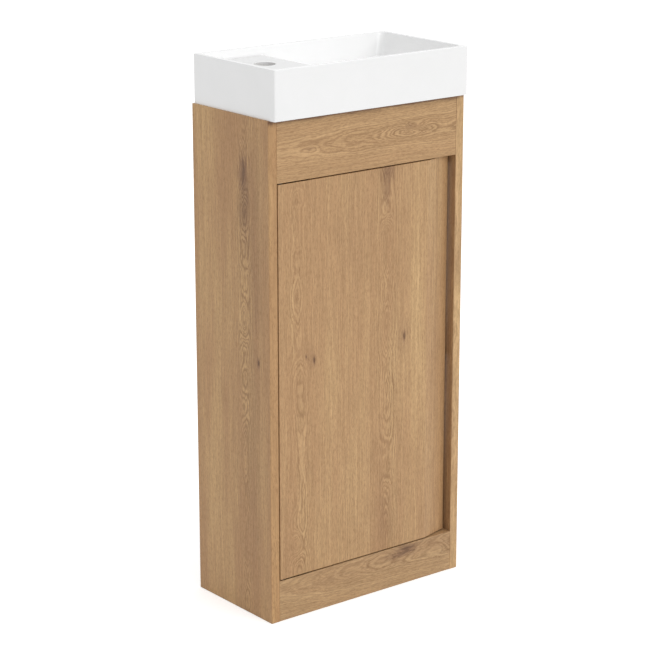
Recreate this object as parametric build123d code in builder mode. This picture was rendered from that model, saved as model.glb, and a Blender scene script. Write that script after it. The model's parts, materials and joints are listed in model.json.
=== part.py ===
from build123d import *
import math
import os

os.makedirs("parts", exist_ok=True)

# A cloakroom vanity unit: an oak-faced cabinet with one inset door, a ceramic basin on top,
# and a push-open waste with a bottle trap behind the door.
# X runs left to right as seen from the front, Y from the front to the wall, and Z up.
# The origin is on the floor, under the middle of the whole unit. Sizes are in millimetres.

# Cabinet
cabinet_width = 400.0
cabinet_depth = 202.0
cabinet_height = 830.0
board = 16.0
edge_round = 0.8
plinth_height = 70.0
rail_height = 100.0
stretcher_depth = 36.0
back_rail_top_height = 90.0
back_rail_bottom_height = 100.0

# Door
door_thickness = 18.0
door_gap_hinge = 2.0
door_gap_grip = 4.0
door_gap_top = 2.0
door_gap_bottom = 2.0
grip_width = 55.0
grip_depth = 15.0

# Shelf and its pins
shelf_height = 380.0
shelf_depth = 140.0
shelf_play = 1.5
shelf_behind_door = 8.0
shelf_pin_inset = 25.0
shelf_pin_radius = 2.5
shelf_pin_reach = 8.0
shelf_pin_depth = 8.5
shelf_pin_hole_depth = 9.0
shelf_pin_flange_radius = 4.5
shelf_pin_flange = 1.0
shelf_hole_pitch = 32.0
shelf_hole_rows = 5

# Dowels that join the boards to the side panels
dowel_radius = 4.0
dowel_hole_in_side = 11.0
dowel_hole_in_board = 20.0
dowel_end_gap = 0.5
dowel_inset = 25.0
dowel_floor_inset = 15.0
dowel_spacing_narrow = 18.0

# Pivot hinges at the top and bottom edge of the door
pivot_from_edge = 6.5
pivot_from_face = 5.0
pivot_pin_radius = 2.0
pivot_pin_reach = 3.0
pivot_pin_hole_radius = 2.6
pivot_pin_hole_spare = 1.0
door_swing_spare = 1.5
plate_thickness = 1.5
plate_length = 58.0
plate_nose = 3.4
plate_depth = 9.0
plate_screw_first = 20.0
plate_screw_pitch = 24.0
washer_radius = 3.4

# Countersunk wood screws
screw_head_radius = 2.9
screw_head_height = 1.5
screw_shank_radius = 1.5
screw_tip_radius = 0.3
screw_tip_length = 2.5
screw_length = 16.0
drive_length = 3.0
drive_width = 0.8
drive_depth = 1.1

# Magnetic catch, with its strike plate on the door, and the door buffers
catch_from_grip = 30.0
catch_length = 30.0
catch_depth = 16.0
catch_height = 13.0
catch_wall = 1.6
catch_plate_length = 54.0
catch_plate_thickness = 2.5
catch_screw_pitch = 42.0
catch_ear_round = 4.0
pole_thickness = 1.2
pole_proud = 0.3
strike_length = 34.0
strike_height = 12.0
strike_thickness = 1.2
strike_corner_round = 3.0
strike_screw_length = 12.0
buffer_radius = 4.0
buffer_spread = 200.0

# Wall fixing
wall_hole_radius = 3.25
wall_hole_spacing = 280.0

# Basin
basin_inset = 3.0
basin_overhang = 12.0
basin_height = 80.0
basin_corner_round = 3.0
basin_rim_round = 1.5
rim = 8.0
skirt = 9.0
front_bearing = 24.0
ledge_width = 119.0
ledge_drop = 13.5
ledge_thickness = 13.0
ledge_corner_round = 8.0
ledge_cove = 6.0
ledge_lip_round = 2.5
ledge_slope_left = 5.0
ledge_run_on = 40.0
bowl_wall = 9.0
bowl_floor_thickness = 12.0
bowl_underside_rise = 9.0
bowl_corner_round = 12.0
bowl_floor_round = 10.0
bowl_slope_left = 12.0
bowl_slope_right = 25.0
bowl_slope_front = 8.0
bowl_slope_rear = 18.0
above_rim = 1.0
floor_fall = 1.5
floor_fall_radius = 62.0
tap_hole_radius = 17.5
tap_from_side = 75.0
tap_from_rear = 90.0

# Waste. Its thread is also the one of the trap's unions.
drain_hole_play = 1.55
flange_radius = 31.5
flange_thickness = 2.5
flange_edge = 0.8
flange_seat = 3.0
flange_play = 0.7
gasket_thickness = 1.0
thread_radius = 20.95
waste_bore_radius = 17.5
waste_throat_radius = 22.0
waste_throat_depth = 5.0
waste_length = 72.0
lower_gasket_radius = 31.0
lower_gasket_thickness = 4.0
backnut_wall = 5.05
backnut_height = 10.0
cartridge_radius = 7.0
cartridge_bore_radius = 4.0
cartridge_length = 36.0
cartridge_floor = 3.0
cartridge_below_flange = 6.0
cartridge_rib = 2.0
cartridge_rib_height = 8.0

# Plug of the waste, shown raised
plug_radius = 30.5
plug_edge = 2.0
plug_rise = 2.5
plug_travel = 8.0
plug_lift = 0.3
plug_boss_radius = 18.9
plug_boss_height = 2.8
plug_groove_radius = 18.25
plug_groove_top = 0.4
plug_groove_height = 1.8
plug_stem_radius = 3.95
plug_stem_reach = 20.0
seal_tube_radius = 0.85

# Bottle trap for a 32 mm pipe
pipe_radius = 16.0
pipe_play = 0.3
trap_wall = 2.5
trap_nut_wall = 4.05
trap_nut_lip = 3.0
trap_nut_engagement = 12.0
trap_nut_ribs = 12
trap_nut_rib = 1.2
union_washer_thickness = 2.5
dip_flange_thickness = 3.0
dip_tube_bore = 14.0
neck_below_waste = 34.0
neck_height = 16.0
neck_shoulder = 6.0
trap_seal_thickness = 3.0
trap_body_radius = 29.0
outlet_below_neck = 38.0
outlet_reach = 55.0
outlet_socket = 26.0
outlet_stop_radius = 14.5
body_below_outlet = 60.0
trap_water_seal = 75.0
cup_seal_thickness = 2.5
cup_overlap = 14.0
cup_below_dip = 16.0
cup_radius = 32.5
cup_floor = 3.0
cup_round = 8.0
cup_rib = 1.0
cup_ribs = 16

# Clearances between pieces that fit together
dowel_play = 0.05
screw_play = 0.05
pin_play = 0.05
rivet_play = 0.02
washer_play = 0.1
buffer_play = 0.1
magnet_gap = 0.3
seat_play = 0.1
seal_play = 0.05
thread_play = 0.15

# Main planes of the cabinet
left_x = -cabinet_width / 2
right_x = cabinet_width / 2
inner_left_x = left_x + board
inner_right_x = right_x - board
basin_width = cabinet_width - 2 * basin_inset
basin_depth = cabinet_depth + basin_overhang
rear_y = basin_depth / 2
front_y = rear_y - cabinet_depth
rail_rear_y = front_y + board
back_rail_y = rear_y - board
opening_top_z = cabinet_height - rail_height
base_z = plinth_height - board
back_top_z = cabinet_height - back_rail_top_height
back_bottom_top_z = base_z + back_rail_bottom_height

# Door and its pivot, close to the front corner of the hinge edge
door_left_x = inner_left_x + door_gap_hinge
door_right_x = inner_right_x - door_gap_grip
door_rear_y = front_y + door_thickness
door_bottom_z = plinth_height + door_gap_bottom
door_top_z = opening_top_z - door_gap_top
grip_start_x = door_right_x - grip_width
pivot_x = door_left_x + pivot_from_edge
pivot_y = front_y + pivot_from_face
plate_screw_xs = (pivot_x + plate_screw_first, pivot_x + plate_screw_first + plate_screw_pitch)
plate_screw_y = pivot_y + (plate_depth - plate_nose) / 2

# Stretcher behind the head of the door, clear of the rear corner of the door as it swings
door_corner_reach = math.hypot(pivot_from_edge, door_thickness - pivot_from_face)
stretcher_front_y = pivot_y + door_corner_reach + door_swing_spare
stretcher_rear_y = stretcher_front_y + stretcher_depth
stretcher_z = opening_top_z - board

# Magnetic catch under the stretcher, beside the finger grip of the door
catch_x = grip_start_x - catch_from_grip
catch_left_x = catch_x - catch_length / 2
catch_right_x = catch_x + catch_length / 2
catch_front_y = door_rear_y + strike_thickness + magnet_gap
catch_rear_y = catch_front_y + catch_depth
catch_plate_z = stretcher_z - catch_plate_thickness
catch_bottom_z = catch_plate_z - catch_height
catch_mid_z = catch_bottom_z + catch_height / 2
catch_screw_y = (catch_front_y + catch_rear_y) / 2
catch_screw_xs = (catch_x - catch_screw_pitch / 2, catch_x + catch_screw_pitch / 2)
strike_rear_y = door_rear_y + strike_thickness

# Shelf, its pins and their holes
shelf_front_y = door_rear_y + shelf_behind_door
shelf_rear_y = shelf_front_y + shelf_depth
shelf_pin_ys = (shelf_front_y + shelf_pin_inset, shelf_rear_y - shelf_pin_inset)
shelf_pin_z = shelf_height - shelf_pin_radius

# Dowel centres as (y, z) on the inner faces of the side panels, board by board
rail_mid_y = front_y + board / 2
back_mid_y = rear_y - board / 2
stretcher_mid_y = (stretcher_front_y + stretcher_rear_y) / 2
dowel_places = {
    "plinth": [(rail_mid_y, dowel_floor_inset), (rail_mid_y, plinth_height - dowel_inset)],
    "rail": [(rail_mid_y, opening_top_z + dowel_inset), (rail_mid_y, cabinet_height - dowel_inset)],
    "base": [(y, base_z + board / 2) for y in (rail_rear_y + dowel_inset, back_rail_y - dowel_inset)],
    "stretcher": [
        (stretcher_mid_y + side * dowel_spacing_narrow / 2, stretcher_z + board / 2) for side in (-1, 1)
    ],
    "back_top": [(back_mid_y, back_top_z + dowel_inset), (back_mid_y, cabinet_height - dowel_inset)],
    "back_bottom": [(back_mid_y, base_z + dowel_inset), (back_mid_y, back_bottom_top_z - dowel_inset)],
}

# Main planes of the basin
basin_left_x = -basin_width / 2
basin_right_x = basin_width / 2
basin_front_y = rear_y - basin_depth
basin_bottom_z = cabinet_height
basin_top_z = basin_bottom_z + basin_height
ledge_end_x = basin_left_x + rim + ledge_width
tap_x = basin_left_x + tap_from_side
tap_y = rear_y - tap_from_rear
ledge_z = basin_top_z - ledge_drop
underside_z = basin_bottom_z + bowl_underside_rise
bowl_floor_z = underside_z + bowl_floor_thickness

Z_UP = (0, 0, 1)
Z_DOWN = (0, 0, -1)


def slab(x0, x1, y0, y1, z0, z1, mode=Mode.ADD):
    """A slab between two opposite corners, added to or cut from the part in hand."""
    with BuildSketch(Plane.XY.offset(z0)) as outline:
        with Locations(((x0 + x1) / 2, (y0 + y1) / 2)):
            Rectangle(x1 - x0, y1 - y0)
    extrude(outline.sketch, amount=z1 - z0, mode=mode)


def bar(start, direction, radius, length, mode=Mode.ADD):
    """A round bar, or a round hole, from a start point along a direction."""
    with BuildSketch(Plane(origin=start, z_dir=direction)) as section:
        Circle(radius)
    extrude(section.sketch, amount=length, mode=mode)


def turned(points, origin, direction, mode=Mode.ADD):
    """A turned shape. Each point is a radius and a distance from the origin along the axis."""
    side = Plane(origin=origin, x_dir=(1, 0, 0), z_dir=Vector(1, 0, 0).cross(Vector(*direction)))
    with BuildSketch(side) as profile:
        with BuildLine():
            Polyline(*points, close=True)
        make_face()
    revolve(profile.sketch, axis=Axis(origin, direction), mode=mode)


def screw(point, direction, length=screw_length, play=0.0, mode=Mode.ADD):
    """A cross-recessed wood screw with its head flush at the point, or the hole that it sits in."""
    outline = [
        (0, 0),
        (screw_head_radius + play, 0),
        (screw_shank_radius + play, screw_head_height),
        (screw_shank_radius + play, length - screw_tip_length),
        (screw_tip_radius + play, length + play),
        (0, length + play),
    ]
    turned(outline, point, direction, mode)
    if mode == Mode.ADD:
        with BuildSketch(Plane(origin=point, z_dir=direction)) as cross_recess:
            Rectangle(drive_length, drive_width)
            Rectangle(drive_width, drive_length)
        extrude(cross_recess.sketch, amount=drive_depth, mode=Mode.SUBTRACT)


def dowel_holes(name):
    """Blind dowel holes in both ends of a board that runs between the side panels."""
    for y, z in dowel_places[name]:
        for end_x, inward in ((inner_left_x, 1), (inner_right_x, -1)):
            bar((end_x, y, z), (inward, 0, 0), dowel_radius + dowel_play, dowel_hole_in_board, Mode.SUBTRACT)


def plate_outline(z, grow=0.0):
    """Outline of a hinge plate, or of its recess, with a round nose about the pivot."""
    x0 = pivot_x - plate_nose - grow
    x1 = pivot_x + plate_length + grow
    y0 = pivot_y - plate_nose - grow
    y1 = pivot_y + plate_depth + grow
    with BuildSketch(Plane.XY.offset(z)) as outline:
        with Locations(((x0 + x1) / 2, (y0 + y1) / 2)):
            Rectangle(x1 - x0, y1 - y0)
        nose = outline.vertices().group_by(Axis.X)[0].group_by(Axis.Y)[0]
        fillet(nose, plate_nose + grow)
    return outline.sketch


def plate_screw_holes(face_z, inward):
    """Countersunk holes for the two screws of a hinge plate."""
    for x in plate_screw_xs:
        screw((x, plate_screw_y, face_z), (0, 0, inward), play=screw_play, mode=Mode.SUBTRACT)


def plate_recess(face_z, inward):
    """Recess for a hinge plate in the edge of a board, with the holes for its screws."""
    extrude(plate_outline(face_z, seat_play), amount=inward * plate_thickness, mode=Mode.SUBTRACT)
    plate_screw_holes(face_z, inward)


# Side panels: full-height boards, with dowel holes and two rows of shelf holes in the inner face
for name, outer_x, inner_x, outward in (
    ("side_panel_left", left_x, inner_left_x, -1),
    ("side_panel_right", right_x, inner_right_x, 1),
):
    with BuildPart() as side_panel:
        slab(min(outer_x, inner_x), max(outer_x, inner_x), front_y, rear_y, 0, cabinet_height)
        fillet(side_panel.faces().sort_by(Axis.Y)[0].edges().filter_by(Axis.Z), edge_round)
        for places in dowel_places.values():
            for y, z in places:
                bar((inner_x, y, z), (outward, 0, 0), dowel_radius + dowel_play, dowel_hole_in_side, Mode.SUBTRACT)
        middle = (inner_x, sum(shelf_pin_ys) / 2, shelf_pin_z)
        with Locations(Plane(origin=middle, x_dir=(0, 1, 0), z_dir=(-outward, 0, 0))):
            with GridLocations(shelf_pin_ys[1] - shelf_pin_ys[0], shelf_hole_pitch, 2, shelf_hole_rows):
                Hole(shelf_pin_radius + dowel_play, depth=shelf_pin_hole_depth)
    side_panel.part.label = name
    export_step(side_panel.part, f"parts/{name}.step")

# Base panel, behind the plinth and level with its top
with BuildPart() as base_panel:
    slab(inner_left_x, inner_right_x, rail_rear_y, back_rail_y, base_z, plinth_height)
    dowel_holes("base")
base_panel.part.label = "base_panel"
export_step(base_panel.part, "parts/base_panel.step")

# Plinth board across the front, flush with the side panels
with BuildPart() as plinth_front:
    slab(inner_left_x, inner_right_x, front_y, rail_rear_y, 0, plinth_height)
    fillet(plinth_front.faces().sort_by(Axis.Y)[0].edges(), edge_round)
    dowel_holes("plinth")
    plate_recess(plinth_height, -1)
plinth_front.part.label = "plinth_front"
export_step(plinth_front.part, "parts/plinth_front.step")

# Top rail across the front, above the door
with BuildPart() as top_rail_front:
    slab(inner_left_x, inner_right_x, front_y, rail_rear_y, opening_top_z, cabinet_height)
    fillet(top_rail_front.faces().sort_by(Axis.Y)[0].edges(), edge_round)
    dowel_holes("rail")
    plate_recess(opening_top_z, 1)
top_rail_front.part.label = "top_rail_front"
export_step(top_rail_front.part, "parts/top_rail_front.step")

# Stretcher behind the head of the door, which carries the catch and the buffers
with BuildPart() as top_stretcher:
    slab(inner_left_x, inner_right_x, stretcher_front_y, stretcher_rear_y, stretcher_z, opening_top_z)
    dowel_holes("stretcher")
    for x in catch_screw_xs:
        screw((x, catch_screw_y, catch_plate_z), Z_UP, play=screw_play, mode=Mode.SUBTRACT)
top_stretcher.part.label = "top_stretcher"
export_step(top_stretcher.part, "parts/top_stretcher.step")

# Back rail under the basin, with the two holes that fix the unit to the wall
with BuildPart() as back_rail_top:
    slab(inner_left_x, inner_right_x, back_rail_y, rear_y, back_top_z, cabinet_height)
    dowel_holes("back_top")
    middle = (0, rear_y, back_top_z + back_rail_top_height / 2)
    with Locations(Plane(origin=middle, x_dir=(1, 0, 0), z_dir=(0, 1, 0))):
        with GridLocations(wall_hole_spacing, 1, 2, 1):
            Hole(wall_hole_radius, depth=board)
back_rail_top.part.label = "back_rail_top"
export_step(back_rail_top.part, "parts/back_rail_top.step")

# Bottom back rail; between the two back rails the unit is open for the pipes
with BuildPart() as back_rail_bottom:
    slab(inner_left_x, inner_right_x, back_rail_y, rear_y, base_z, back_bottom_top_z)
    dowel_holes("back_bottom")
back_rail_bottom.part.label = "back_rail_bottom"
export_step(back_rail_bottom.part, "parts/back_rail_bottom.step")

# Dowels in every joint between a board and a side panel
with BuildPart() as joint_dowels:
    for places in dowel_places.values():
        for y, z in places:
            for end_x, outward in ((inner_left_x, -1), (inner_right_x, 1)):
                start_x = end_x + outward * (dowel_hole_in_side - dowel_end_gap)
                length = dowel_hole_in_side + dowel_hole_in_board - 2 * dowel_end_gap
                bar((start_x, y, z), (-outward, 0, 0), dowel_radius, length)
joint_dowels.part.label = "joint_dowels"
export_step(joint_dowels.part, "parts/joint_dowels.step")

# Loose shelf, which rests on four pins
with BuildPart() as shelf:
    shelf_left_x = inner_left_x + shelf_play
    shelf_right_x = inner_right_x - shelf_play
    slab(shelf_left_x, shelf_right_x, shelf_front_y, shelf_rear_y, shelf_height, shelf_height + board)
    fillet(shelf.faces().sort_by(Axis.Y)[0].edges().filter_by(Axis.X), edge_round)
shelf.part.label = "shelf"
export_step(shelf.part, "parts/shelf.step")

# Shelf pins: a shank in the side panel, a thin flange on its face and a peg under the shelf
with BuildPart() as shelf_pins:
    for inner_x, inward in ((inner_left_x, 1), (inner_right_x, -1)):
        for y in shelf_pin_ys:
            shank_start = (inner_x - inward * shelf_pin_depth, y, shelf_pin_z)
            bar(shank_start, (inward, 0, 0), shelf_pin_radius, shelf_pin_depth + shelf_pin_reach)
            bar((inner_x, y, shelf_pin_z), (inward, 0, 0), shelf_pin_flange_radius, shelf_pin_flange)
shelf_pins.part.label = "shelf_pins"
export_step(shelf_pins.part, "parts/shelf_pins.step")

# Door: a thick board whose free edge is bevelled from the front into a finger grip
with BuildPart() as door:
    slab(door_left_x, door_right_x, front_y, door_rear_y, door_bottom_z, door_top_z)
    fillet(door.faces().sort_by(Axis.Y)[0].edges(), edge_round)
    with BuildSketch(Plane.XY.offset(door_bottom_z)) as grip_section:
        with BuildLine():
            Polyline(
                (grip_start_x, front_y),
                (door_right_x, front_y),
                (door_right_x, front_y + grip_depth),
                close=True,
            )
        make_face()
    extrude(grip_section.sketch, amount=door_top_z - door_bottom_z, mode=Mode.SUBTRACT)
    pin_hole_depth = plate_thickness + pivot_pin_reach + pivot_pin_hole_spare
    for face_z, inward in ((door_top_z, -1), (door_bottom_z, 1)):
        plate_recess(face_z, inward)
        bar((pivot_x, pivot_y, face_z), (0, 0, inward), pivot_pin_hole_radius, pin_hole_depth, Mode.SUBTRACT)
    screw(
        (catch_x, strike_rear_y, catch_mid_z), (0, -1, 0), strike_screw_length, screw_play, Mode.SUBTRACT
    )
door.part.label = "door"
export_step(door.part, "parts/door.step")

# Hinge plates: two in the cabinet, which hold the pins, and two in the door, which turn on them
for name, face_z, inward, pin_hole_play in (
    ("pivot_plate_top", opening_top_z, 1, rivet_play),
    ("pivot_plate_bottom", plinth_height, -1, rivet_play),
    ("door_plate_top", door_top_z, -1, pin_play),
    ("door_plate_bottom", door_bottom_z, 1, pin_play),
):
    with BuildPart() as hinge_plate:
        extrude(plate_outline(face_z), amount=inward * plate_thickness)
        start = (pivot_x, pivot_y, face_z)
        bar(start, (0, 0, inward), pivot_pin_radius + pin_hole_play, plate_thickness, Mode.SUBTRACT)
        plate_screw_holes(face_z, inward)
    hinge_plate.part.label = name
    export_step(hinge_plate.part, f"parts/{name}.step")

# Pivot pins, riveted in the cabinet's plates and reaching into the door
with BuildPart() as pivot_pins:
    for plate_z, gap, toward_door in ((opening_top_z, door_gap_top, -1), (plinth_height, door_gap_bottom, 1)):
        start = (pivot_x, pivot_y, plate_z - toward_door * plate_thickness)
        length = gap + 2 * plate_thickness + pivot_pin_reach
        bar(start, (0, 0, toward_door), pivot_pin_radius, length)
pivot_pins.part.label = "pivot_pins"
export_step(pivot_pins.part, "parts/pivot_pins.step")

# Washers on the pins, in the gaps above and below the door
with BuildPart() as pivot_washers:
    for plate_z, gap, toward_door in ((opening_top_z, door_gap_top, -1), (plinth_height, door_gap_bottom, 1)):
        start = (pivot_x, pivot_y, plate_z)
        bar(start, (0, 0, toward_door), washer_radius, gap - washer_play)
        bar(start, (0, 0, toward_door), pivot_pin_radius + pin_play, gap, Mode.SUBTRACT)
pivot_washers.part.label = "pivot_washers"
export_step(pivot_washers.part, "parts/pivot_washers.step")

# Screws of the hinge plates, in the cabinet and in the door
for name, faces in (
    ("pivot_plate_screws", ((opening_top_z, 1), (plinth_height, -1))),
    ("door_plate_screws", ((door_top_z, -1), (door_bottom_z, 1))),
):
    with BuildPart() as plate_screws:
        for face_z, inward in faces:
            for x in plate_screw_xs:
                screw((x, plate_screw_y, face_z), (0, 0, inward))
    plate_screws.part.label = name
    export_step(plate_screws.part, f"parts/{name}.step")

# Housing of the magnetic catch: a case open towards the door, under a plate with two ears
with BuildPart() as catch_housing:
    slab(catch_left_x, catch_right_x, catch_front_y, catch_rear_y, catch_bottom_z, catch_plate_z)
    plate_left_x = catch_x - catch_plate_length / 2
    plate_right_x = catch_x + catch_plate_length / 2
    slab(plate_left_x, plate_right_x, catch_front_y, catch_rear_y, catch_plate_z, stretcher_z)
    ear_edges = catch_housing.edges().filter_by(Axis.Z).group_by(Axis.X)
    fillet(ear_edges[0] + ear_edges[-1], catch_ear_round)
    slab(
        catch_left_x + catch_wall,
        catch_right_x - catch_wall,
        catch_front_y,
        catch_rear_y - catch_wall,
        catch_bottom_z + catch_wall,
        catch_plate_z,
        Mode.SUBTRACT,
    )
    for x in catch_screw_xs:
        screw((x, catch_screw_y, catch_plate_z), Z_UP, play=screw_play, mode=Mode.SUBTRACT)
catch_housing.part.label = "catch_housing"
export_step(catch_housing.part, "parts/catch_housing.step")

# Magnet of the catch and the two steel pole plates that hold it between them
magnet_left_x = catch_left_x + catch_wall + seat_play
magnet_right_x = catch_right_x - catch_wall - seat_play
magnet_rear_y = catch_rear_y - catch_wall - seat_play
magnet_bottom_z = catch_bottom_z + catch_wall + seat_play
magnet_top_z = catch_plate_z - seat_play
with BuildPart() as catch_magnet:
    slab(
        magnet_left_x,
        magnet_right_x,
        catch_front_y + pole_proud,
        magnet_rear_y,
        magnet_bottom_z + pole_thickness,
        magnet_top_z - pole_thickness,
    )
catch_magnet.part.label = "catch_magnet"
export_step(catch_magnet.part, "parts/catch_magnet.step")

with BuildPart() as catch_poles:
    for pole_z in (magnet_bottom_z, magnet_top_z - pole_thickness):
        slab(magnet_left_x, magnet_right_x, catch_front_y, magnet_rear_y, pole_z, pole_z + pole_thickness)
catch_poles.part.label = "catch_poles"
export_step(catch_poles.part, "parts/catch_poles.step")

with BuildPart() as catch_screws:
    for x in catch_screw_xs:
        screw((x, catch_screw_y, catch_plate_z), Z_UP)
catch_screws.part.label = "catch_screws"
export_step(catch_screws.part, "parts/catch_screws.step")

# Steel strike plate on the back of the door, opposite the magnet, and its screw
with BuildPart() as strike_plate:
    strike_plane = Plane(origin=(catch_x, door_rear_y, catch_mid_z), x_dir=(-1, 0, 0), z_dir=(0, 1, 0))
    with BuildSketch(strike_plane):
        RectangleRounded(strike_length, strike_height, strike_corner_round)
    extrude(amount=strike_thickness)
    screw(
        (catch_x, strike_rear_y, catch_mid_z), (0, -1, 0), strike_screw_length, screw_play, Mode.SUBTRACT
    )
strike_plate.part.label = "strike_plate"
export_step(strike_plate.part, "parts/strike_plate.step")

with BuildPart() as strike_screw:
    screw((catch_x, strike_rear_y, catch_mid_z), (0, -1, 0), strike_screw_length)
strike_screw.part.label = "strike_screw"
export_step(strike_screw.part, "parts/strike_screw.step")

# Soft buffers on the stretcher that the closed door comes up against
with BuildPart() as door_buffers:
    for x in (-buffer_spread / 2, buffer_spread / 2):
        start = (x, stretcher_front_y, stretcher_z + board / 2)
        bar(start, (0, -1, 0), buffer_radius, stretcher_front_y - door_rear_y - buffer_play)
door_buffers.part.label = "door_buffers"
export_step(door_buffers.part, "parts/door_buffers.step")


def lean_wall(upper_edge, outward, angle, grow=0.0):
    """Cuts the block in hand along a wall that leans in below its upper edge, or outside that wall."""
    lean = math.radians(angle)
    normal = Vector(*outward) * math.cos(lean) - Vector(*Z_UP) * math.sin(lean)
    split(bisect_by=Plane(origin=Vector(*upper_edge) + normal * grow, z_dir=normal), keep=Keep.BOTTOM)


def long_walls(grow=0.0):
    """The front and rear walls of the hollow, which run on from the bowl past the ledge."""
    lean_wall((0, basin_front_y + rim, basin_top_z), (0, -1, 0), bowl_slope_front, grow)
    lean_wall((0, rear_y - rim, basin_top_z), (0, 1, 0), bowl_slope_rear, grow)


def bowl_block(top_z, bottom_z, grow=0.0):
    """The space inside the bowl, or the bowl with a wall around it, between two heights."""
    slab(basin_left_x, basin_right_x, basin_front_y, rear_y, bottom_z, top_z)
    long_walls(grow)
    lean_wall((ledge_end_x, 0, ledge_z), (-1, 0, 0), bowl_slope_left, grow)
    lean_wall((basin_right_x - rim, 0, basin_top_z), (1, 0, 0), bowl_slope_right, grow)


def leaning_edges(block):
    """The edges where two walls of a block meet."""
    return block.edges() - block.edges().filter_by(Plane.XY)


# Hollow of the bowl, with leaning walls and a rounded floor
with BuildPart() as bowl_hollow:
    bowl_block(basin_top_z + above_rim, bowl_floor_z)
    floor_centre = bowl_hollow.faces().sort_by(Axis.Z)[0].center()
    fillet(leaning_edges(bowl_hollow), bowl_corner_round)
    fillet(bowl_hollow.faces().sort_by(Axis.Z)[0].edges(), bowl_floor_round)

# Hollow over the tap ledge, coved where the ledge meets the walls
with BuildPart() as ledge_hollow:
    slab(basin_left_x, ledge_end_x + ledge_run_on, basin_front_y, rear_y, ledge_z, basin_top_z + above_rim)
    long_walls()
    lean_wall((basin_left_x + rim, 0, basin_top_z), (-1, 0, 0), ledge_slope_left)
    fillet(leaning_edges(ledge_hollow).group_by(Axis.X)[0], ledge_corner_round)
    fillet(ledge_hollow.faces().sort_by(Axis.Z)[0].edges(), ledge_cove)

# Wall of the bowl as seen from below, in the open underside of the basin
with BuildPart() as bowl_outside:
    bowl_block(ledge_z - ledge_thickness, underside_z, bowl_wall)
    fillet(leaning_edges(bowl_outside), bowl_corner_round + bowl_wall)

# Drain at the middle of the bowl's floor
drain_x = floor_centre.X
drain_y = floor_centre.Y
drain_z = bowl_floor_z - floor_fall
seat_radius = flange_radius + flange_play

# Ceramic basin: one hollow casting with a bowl, a tap ledge and an open underside
with BuildPart() as basin:
    slab(basin_left_x, basin_right_x, basin_front_y, rear_y, basin_bottom_z, basin_top_z)
    fillet(basin.edges().filter_by(Axis.Z), basin_corner_round)
    slab(
        basin_left_x + skirt,
        basin_right_x - skirt,
        basin_front_y + front_bearing,
        rear_y - skirt,
        basin_bottom_z,
        ledge_z - ledge_thickness,
        Mode.SUBTRACT,
    )
    add(bowl_outside.part)
    add(bowl_hollow.part, mode=Mode.SUBTRACT)
    add(ledge_hollow.part, mode=Mode.SUBTRACT)
    fillet(basin.faces().sort_by(Axis.Z)[-1].edges(), basin_rim_round)
    at_ledge_end = basin.edges().filter_by(Axis.Y).filter_by_position(Axis.Z, ledge_z, ledge_z)
    fillet(at_ledge_end.sort_by(Axis.X)[-1], ledge_lip_round)
    fall = [(0, 0), (floor_fall_radius, 0), (seat_radius, -floor_fall), (0, -floor_fall)]
    turned(fall, (drain_x, drain_y, bowl_floor_z), Z_UP, Mode.SUBTRACT)
    with Locations((drain_x, drain_y, drain_z)):
        CounterBoreHole(thread_radius + drain_hole_play, seat_radius, flange_seat, depth=bowl_floor_thickness)
    with Locations((tap_x, tap_y, ledge_z)):
        Hole(tap_hole_radius, depth=ledge_thickness)
basin.part.label = "basin"
export_step(basin.part, "parts/basin.step")

# Heights down the waste, from the seat of its flange to the end of its thread
drain_axis = (drain_x, drain_y, 0)
seat_z = drain_z - flange_seat
flange_bottom_z = seat_z + gasket_thickness
flange_top_z = flange_bottom_z + flange_thickness
waste_end_z = flange_top_z - waste_length

# Threaded waste with a flange in the bowl and a tapered throat
with BuildPart() as waste_body:
    profile = [
        (waste_bore_radius, waste_end_z),
        (thread_radius, waste_end_z),
        (thread_radius, flange_bottom_z),
        (flange_radius, flange_bottom_z),
        (flange_radius, flange_top_z - flange_edge),
        (flange_radius - flange_edge, flange_top_z),
        (waste_throat_radius, flange_top_z),
        (waste_bore_radius, flange_top_z - waste_throat_depth),
    ]
    turned(profile, drain_axis, Z_UP)
waste_body.part.label = "waste_body"
export_step(waste_body.part, "parts/waste_body.step")

# Gasket under the flange, gasket under the basin, and the nut that pulls the two together
with BuildPart() as waste_gasket:
    bar((drain_x, drain_y, seat_z), Z_UP, flange_radius - flange_edge, gasket_thickness)
    bar((drain_x, drain_y, seat_z), Z_UP, thread_radius + seat_play, gasket_thickness, Mode.SUBTRACT)
waste_gasket.part.label = "waste_gasket"
export_step(waste_gasket.part, "parts/waste_gasket.step")

with BuildPart() as waste_lower_gasket:
    bar((drain_x, drain_y, underside_z), Z_DOWN, lower_gasket_radius, lower_gasket_thickness)
    bar(
        (drain_x, drain_y, underside_z),
        Z_DOWN,
        thread_radius + seat_play,
        lower_gasket_thickness,
        Mode.SUBTRACT,
    )
waste_lower_gasket.part.label = "waste_lower_gasket"
export_step(waste_lower_gasket.part, "parts/waste_lower_gasket.step")

backnut_top_z = underside_z - lower_gasket_thickness
with BuildPart() as waste_backnut:
    with BuildSketch(Plane.XY.offset(backnut_top_z)):
        with Locations((drain_x, drain_y)):
            RegularPolygon(thread_radius + backnut_wall, 6, major_radius=False)
            Circle(thread_radius + thread_play, mode=Mode.SUBTRACT)
    extrude(amount=-backnut_height)
waste_backnut.part.label = "waste_backnut"
export_step(waste_backnut.part, "parts/waste_backnut.step")

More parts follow.
